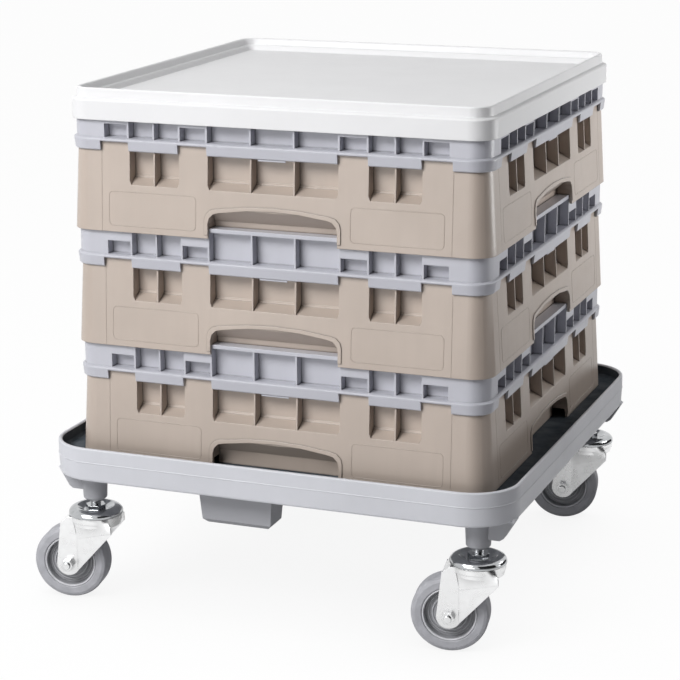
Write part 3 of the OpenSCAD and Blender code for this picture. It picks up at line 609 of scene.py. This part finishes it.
def panel_outline():
    """Outline of a label panel with rounded corners, as pairs of distance and height."""
    left, low = PANEL_LOW
    right, high = PANEL_HIGH
    corners = ((right, high, 0), (left, high, 90), (left, low, 180), (right, low, 270))
    points = []
    for along, height, start in corners:
        centre_along = along - PANEL_RADIUS if start in (0, 270) else along + PANEL_RADIUS
        centre_height = height - PANEL_RADIUS if start in (0, 90) else height + PANEL_RADIUS
        for i in range(PANEL_STEPS + 1):
            angle = math.radians(start + 90 * i / PANEL_STEPS)
            across = centre_along + PANEL_RADIUS * math.cos(angle)
            points.append((across, centre_height + PANEL_RADIUS * math.sin(angle)))
    return points


def mould_line():
    """Points of an upright mould line, as pairs of distance and height."""
    steps = range(MOULD_LINE_STEPS + 1)
    return [(MOULD_LINE, MOULD_LINE_LENGTH * i / MOULD_LINE_STEPS + MOULD_LINE_FOOT) for i in steps]


def on_wall(turn, level, side, points):
    """Puts pairs of distance and height on one half of the leaning wall of a rack base."""
    origin = Vector((PLAN_X, 0, level))
    path = []
    for along, height in points:
        out = RACK_HALF - BASE_LEAN * height / BASE_HEIGHT
        path.append(origin + turn @ Vector((out, side * along, height)))
    return path


def wall_marks():
    """The faint raised panel outlines and mould lines on all four walls of each rack base."""
    tilt = math.atan2(BASE_LEAN, BASE_HEIGHT)
    out = Vector((math.cos(tilt), 0, math.sin(tilt)))
    for rack in RACKS:
        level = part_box(rack + "_rack_base_front")[0][2]
        shape = bmesh.new()
        for quarter in range(4):
            turn = Matrix.Rotation(math.radians(90 * quarter), 3, "Z")
            for side in (-1, 1):
                ridge(shape, on_wall(turn, level, side, panel_outline()), turn @ out, *PANEL_RIDGE, True)
                ridge(shape, on_wall(turn, level, side, mould_line()), turn @ out, *MOULD_LINE_RIDGE, False)
        add_piece(rack + "_rack_wall_marks", shape, rack + "_rack", "rack_plastic")


# Details of a caster, whose stem is on Z and whose wheel lies towards minus X

# Threads: radius of the shaft, depth, pitch and length, and where they start along it
STEM_THREAD = (0.0060, 0.0005, 0.00175, 0.0072)
STEM_THREAD_LEVEL = 0.1147
AXLE_THREAD = (0.0040, 0.00035, 0.00085, 0.0024)
AXLE_THREAD_START = 0.0275

# Sections round the axle, as radius and distance from the middle of the wheel.
# The section of a core ring is measured from that ring's own place.
TYRE_LIP = (
    (0.0290, 0.0122), (0.0290, 0.0132), (0.0294, 0.0138),
    (0.0301, 0.0140), (0.0308, 0.0138), (0.0312, 0.0122),
)
CORE_RINGS = ((0.0243, 0.0060), (0.0195, 0.0085))
CORE_RING_SECTION = (
    (-0.0009, -0.0008), (-0.0008, 0.0006), (0.0, 0.0010), (0.0008, 0.0006), (0.0009, -0.0008),
)

# The crease of a fork leg, whose ridge has a width and a height
CREASE_PLACE = -0.0185
CREASE_LOW = 0.0390
CREASE_RISE = 0.0560
CREASE_STEPS = 8
CREASE_RIDGE = (0.0010, 0.00030)

# The pressed skirts and collar between the race of a fork and its legs; turns are in degrees from the front
SKIRT_TOP = 0.1039
SKIRT_RADIUS = 0.0317
SKIRT_FRONT = 48.0
SKIRT_REAR = 139.8
SKIRT_LOW_FRONT = 0.0880
SKIRT_LOW_REAR = 0.0760
SKIRT_THICK = 0.0016
SKIRT_PROUD = 0.00008
SKIRT_RUNS = 28
SKIRT_STEPS = 10
COLLAR_TURN = 52.0
COLLAR_RUNS = 24
COLLAR_SECTION = (
    (0.0280, 0.0920), (0.0293, 0.0919), (0.0299, 0.0955),
    (0.0308, 0.0998), (0.0317, 0.1039), (0.0280, 0.1039),
)


def between(start, end, share):
    """A value at a share of the way from start to end."""
    return start + (end - start) * share


def middle(node):
    """Middle of a node's box."""
    low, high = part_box(node)
    return (Vector(low) + Vector(high)) / 2


def at_corner(corner):
    """Placing matrix of a caster: its stem on Z, its wheel towards minus X."""
    stem = middle(corner + "_stem")
    wheel = middle(corner + "_wheel_core")
    yaw = math.atan2(stem.y - wheel.y, stem.x - wheel.x)
    return Matrix.Translation((stem.x, stem.y, 0)) @ Matrix.Rotation(yaw, 4, "Z")


def on_axle(place):
    """Placing matrix of a caster's wheel, with the axle on Z."""
    lie = Matrix.Rotation(math.radians(90), 4, "X")
    return place @ (Matrix.Translation((-CASTER_TRAIL, 0, WHEEL_HEIGHT)) @ lie)


def stem_thread(corner, place):
    """The thread of a stem, above its race."""
    shape = bmesh.new()
    thread(shape, place @ Matrix.Translation((0, 0, STEM_THREAD_LEVEL)), *STEM_THREAD)
    add_piece(corner + "_stem_thread", shape, "dolly", "bright_steel")


def axle_thread(corner, place):
    """The thread of an axle bolt, past its nut."""
    shape = bmesh.new()
    thread(shape, on_axle(place) @ Matrix.Translation((0, 0, AXLE_THREAD_START)), *AXLE_THREAD)
    add_piece(corner + "_axle_thread", shape, corner + "_caster", "bright_steel")


def tyre_lip(corner, place):
    """The pale lips where a tyre grips its core."""
    shape = bmesh.new()
    for face in BOTH_FACES:
        ring_of(shape, on_axle(place), [(r, h * face) for r, h in TYRE_LIP])
    add_piece(corner + "_tyre_lip", shape, corner + "_wheel", "grey_rubber", finish="pale_rubber")


def core_rings(corner, place):
    """The two raised rings on each face of a wheel core."""
    shape = bmesh.new()
    for face in BOTH_FACES:
        for radius, foot in CORE_RINGS:
            section = [(radius + r, (foot + h) * face) for r, h in CORE_RING_SECTION]
            ring_of(shape, on_axle(place), section)
    add_piece(corner + "_core_rings", shape, corner + "_wheel", "core_plastic", finish="core_edge")


def skirt_side(shape, place, face):
    """The smooth pressed shoulder from the round race down to the spread part of one leg."""
    rings = []
    for i in range(SKIRT_RUNS + 1):
        share = i / SKIRT_RUNS
        top = polar(SKIRT_RADIUS, math.radians(between(SKIRT_REAR, SKIRT_FRONT, share)), 0)
        out = LEG_OUTSIDE + LEG_SPREAD * share + SKIRT_PROUD
        low = Vector((between(CREASE_PLACE, LEG_FRONT, share), out, 0))
        level = between(SKIRT_LOW_REAR, SKIRT_LOW_FRONT, share)
        outer = []
        for j in range(SKIRT_STEPS + 1):
            rise = j / SKIRT_STEPS
            outer.append(low.lerp(top, rise * rise) + Vector((0, 0, between(level, SKIRT_TOP, rise))))
        inner = [point - Vector((0, SKIRT_THICK, 0)) for point in reversed(outer)]
        ring = [Vector((point.x, point.y * face, point.z)) for point in outer + inner]
        rings.append([shape.verts.new(place @ point) for point in ring])
    join_rings(shape, rings, False)


def skirt_collar(shape, place):
    """The front of the same pressing, between its two sides."""
    rings = []
    for i in range(COLLAR_RUNS + 1):
        angle = math.radians(COLLAR_TURN * (2 * i / COLLAR_RUNS - 1))
        rings.append([shape.verts.new(place @ polar(r, angle, h)) for r, h in COLLAR_SECTION])
    join_rings(shape, rings, False)


def fork_skirt(corner, place):
    """The pressing under the race of a fork: two sides and a collar."""
    shape = bmesh.new()
    for face in BOTH_FACES:
        skirt_side(shape, place, face)
    skirt_collar(shape, place)
    add_piece(corner + "_fork_skirt", shape, corner + "_caster", "zinc_steel")


def fork_crease(corner, place):
    """The upright crease on the outside of each leg of a fork."""
    shape = bmesh.new()
    heights = [CREASE_LOW + CREASE_RISE * i / CREASE_STEPS for i in range(CREASE_STEPS + 1)]
    for face in BOTH_FACES:
        out = place.to_3x3() @ Vector((0, face, 0))
        path = [place @ Vector((CREASE_PLACE, face * LEG_OUTSIDE, height)) for height in heights]
        ridge(shape, path, out, *CREASE_RIDGE, False)
    add_piece(corner + "_fork_crease", shape, corner + "_caster", "zinc_steel")


def caster_details():
    """The pieces that each caster gets."""
    for corner in CORNERS:
        place = at_corner(corner)
        stem_thread(corner, place)
        axle_thread(corner, place)
        tyre_lip(corner, place)
        core_rings(corner, place)
        fork_skirt(corner, place)
        fork_crease(corner, place)


# Studio

MATT = 0.9
FLOOR_SIZE = (18.0, 18.0)

# Share of the floor's own shading that the camera sees
FLOOR_OWN_SHARE = 0.03

# What the floor throws back as light, near the part and aside to its right
BOUNCE_NEAR = (0.54, 0.54, 0.55)
BOUNCE_ASIDE = (0.14, 0.14, 0.15)
ASIDE_X = 0.906
ASIDE_Y = 0.423
ASIDE_STARTS = 0.55
ASIDE_FULL = 0.90
ASIDE_MIRRORED = 0.25

# Reach and samples of the painted shadow: the floor's glow dimmed under the part
PAINTED_SHADOW_REACH = 0.24
PAINTED_SHADOW_SAMPLES = 8

CARD_DARK = (0.020, 0.020, 0.022)
CARD_PALE = (0.032, 0.032, 0.034)
FILL_COLOUR = (0.97, 0.98, 1.0)
FILL_STRENGTH = 0.16
BACKDROP_WHITE = (0.972, 0.972, 0.972)

# Soft lamps: name, place, what they look at, width and height, watts.
# The last two light the right side: one grazes it, and one draws the highlight on the near corner.
SOFTBOXES = (
    ("key", (-1.15, -2.35, 2.35), (0, 0, 0.35), (1.8, 1.3), 90),
    ("front_fill", (-0.60, -2.60, 0.35), (0, 0, 0.35), (2.0, 0.6), 11),
    ("top_light", (-0.2, 0.2, 2.60), (0, 0, 0.6), (1.2, 1.2), 11),
    ("right_light", (1.05, 0.45, 0.50), (0.25, 0, 0.40), (0.45, 0.45), 5.6),
    ("low_strip", (2.10, 0.33, 0.20), (0.25, 0, 0.35), (0.40, 0.36), 0.85),
)

# Dark cards out of sight: name, place, what they look at, width and height.
# The first two give bright metal something dark to reflect, and the last shades the tray's right side.
DARK_CARDS = (
    ("front_card", (1.45, -1.00, 0.95), (0, 0, 0.4), (2.2, 1.9)),
    ("ceiling_card", (0.1, 0.2, 2.9), (0, 0, 0.4), (1.8, 1.8)),
    ("low_card", (0.70, 0.50, 0.18), (0, 0.50, 0.18), (1.1, 0.34)),
)


def floor_aside(g):
    """A mask that is 1 on the floor aside, to the right of the part."""
    x, y, _ = g.split(g.place)
    distance = g.math("SUBTRACT", g.times(x, ASIDE_X), g.times(y, ASIDE_Y))
    return g.spread(distance, ASIDE_STARTS, ASIDE_FULL)


def floor_colour(g, path, aside):
    """Nearly white to the camera, and a dimmer grey for the light that the floor throws back."""
    tone = g.cloud(size=0.4, detail=2.0, low=0.30, high=0.70, to_low=0.98)
    pale = g.add("ShaderNodeCombineColor")
    for channel in range(3):
        g.join(tone, pale.inputs[channel])
    bounce = g.mix(aside, tint(BOUNCE_NEAR), tint(BOUNCE_ASIDE))
    return g.mix(path["Is Camera Ray"], bounce, pale.outputs[0])


def floor_glow(g, path, aside):
    """White that the camera and reflections see, dimmed under the part as a painted shadow, deeper in
    reflections.
    """
    shadow_occlusion = g.add("ShaderNodeAmbientOcclusion", samples=PAINTED_SHADOW_SAMPLES)
    shadow_occlusion.inputs["Distance"].default_value = PAINTED_SHADOW_REACH
    # Painted shadow: the glow dims where the part hangs over the floor, and more so in reflections.
    seen = g.spread(shadow_occlusion.outputs["AO"], low=0.15, high=0.80, to_low=0.90)
    reflected_shadow = g.spread(shadow_occlusion.outputs["AO"], low=0.25, high=0.95, to_low=0.12)
    reflected_shadow = g.times(reflected_shadow, g.spread(aside, 0.0, 1.0, 1.0, ASIDE_MIRRORED))
    glow = g.add("ShaderNodeEmission")
    g.join(g.mix(path["Is Camera Ray"], reflected_shadow, seen), glow.inputs["Color"])
    glow.inputs["Strength"].default_value = 1.0
    return glow.outputs["Emission"]


def floor_material():
    """White to the camera and in reflections, with a painted shadow under the part and a share of its own
    shading.
    """
    g = Graph("studio_floor")
    path = g.add("ShaderNodeLightPath").outputs
    aside = floor_aside(g)
    g.feed("Base Color", floor_colour(g, path, aside))
    g.feed("Roughness", MATT)
    g.feed("Specular IOR Level", 0.0)
    share = g.times(path["Is Camera Ray"], 1 - FLOOR_OWN_SHARE)
    share = g.math("MAXIMUM", share, path["Is Glossy Ray"])
    share = g.math("MAXIMUM", share, path["Is Transmission Ray"])
    blend = g.add("ShaderNodeMixShader")
    g.join(share, blend.inputs[0])
    g.join(g.shader.outputs["BSDF"], blend.inputs[1])
    g.join(floor_glow(g, path, aside), blend.inputs[2])
    g.join(blend.outputs["Shader"], g.output.inputs["Surface"])
    return g.material


def card_material(name):
    """Dark matt card."""
    g = Graph(name)
    tone = g.cloud(size=0.2, detail=3.0, low=0.30, high=0.70)
    g.feed("Base Color", g.mix(tone, tint(CARD_DARK), tint(CARD_PALE)))
    g.feed("Roughness", MATT)
    return g.material


def plane(name, size, matrix, material):
    """A flat stage piece: the floor or a card."""
    half_x = size[0] / 2
    half_y = size[1] / 2
    corners = [(-half_x, -half_y, 0), (half_x, -half_y, 0), (half_x, half_y, 0), (-half_x, half_y, 0)]
    mesh = bpy.data.meshes.new(name)
    mesh.from_pydata([matrix @ Vector(corner) for corner in corners], [], [(0, 1, 2, 3)])
    mesh.materials.append(material)
    flat = bpy.data.objects.new(name, mesh)
    bpy.context.scene.collection.objects.link(flat)
    return flat


def facing(place, target):
    """A matrix at a place whose minus Z axis looks at a target."""
    turn = (Vector(target) - Vector(place)).to_track_quat("-Z", "Y").to_matrix().to_4x4()
    return Matrix.Translation(place) @ turn


def dark_card(name, place, target, size):
    """A dark card that the camera doesn't see."""
    card = plane(name, size, facing(place, target), card_material(name))
    card.visible_camera = False


def softbox(name, place, target, size, watts):
    """A soft lamp that the camera doesn't see."""
    lamp = bpy.data.lights.new(name, "AREA")
    lamp.shape = "RECTANGLE"
    lamp.size, lamp.size_y = size
    lamp.energy = watts
    box = bpy.data.objects.new(name, lamp)
    box.matrix_world = facing(place, target)
    box.visible_camera = False
    bpy.context.scene.collection.objects.link(box)


def backdrop(tree, colour, strength):
    """A plain background of one colour."""
    node = tree.nodes.new("ShaderNodeBackground")
    node.inputs["Color"].default_value = tint(colour)
    node.inputs["Strength"].default_value = strength
    return node.outputs[0]


def world():
    """White to the camera and in reflections, and a plain soft fill for everything else."""
    scene = bpy.context.scene
    scene.world = bpy.data.worlds.new("studio")
    scene.world.use_nodes = True
    tree = scene.world.node_tree
    tree.nodes.clear()
    path = tree.nodes.new("ShaderNodeLightPath")
    seen = path.outputs["Is Camera Ray"]
    for kind in ("Is Glossy Ray", "Is Transmission Ray"):
        either = tree.nodes.new("ShaderNodeMath")
        either.operation = "MAXIMUM"
        tree.links.new(seen, either.inputs[0])
        tree.links.new(path.outputs[kind], either.inputs[1])
        seen = either.outputs[0]
    blend = tree.nodes.new("ShaderNodeMixShader")
    tree.links.new(seen, blend.inputs[0])
    tree.links.new(backdrop(tree, FILL_COLOUR, FILL_STRENGTH), blend.inputs[1])
    tree.links.new(backdrop(tree, BACKDROP_WHITE, 1.0), blend.inputs[2])
    output = tree.nodes.new("ShaderNodeOutputWorld")
    tree.links.new(blend.outputs[0], output.inputs["Surface"])


def camera():
    """The camera at the photograph's place."""
    data = bpy.data.cameras.new("photo_camera")
    data.lens = CAMERA_LENS
    data.sensor_width = CAMERA_SENSOR
    data.clip_end = CAMERA_FAR
    eye = bpy.data.objects.new("photo_camera", data)
    turn = Matrix.Rotation(math.radians(CAMERA_AZIMUTH), 4, "Z")
    tip = Matrix.Rotation(math.radians(90 - CAMERA_ELEVATION), 4, "X")
    roll = Matrix.Rotation(math.radians(CAMERA_ROLL), 4, "Z")
    eye.matrix_world = Matrix.Translation(CAMERA_PLACE) @ turn @ tip @ roll
    bpy.context.scene.collection.objects.link(eye)
    bpy.context.scene.camera = eye


dress_nodes()
wall_marks()
caster_details()

bpy.context.scene.view_settings.view_transform = "Standard"
plane("studio_floor", FLOOR_SIZE, Matrix.Identity(4), floor_material())
world()
for lamp in SOFTBOXES:
    softbox(*lamp)
for card in DARK_CARDS:
    dark_card(*card)
camera()
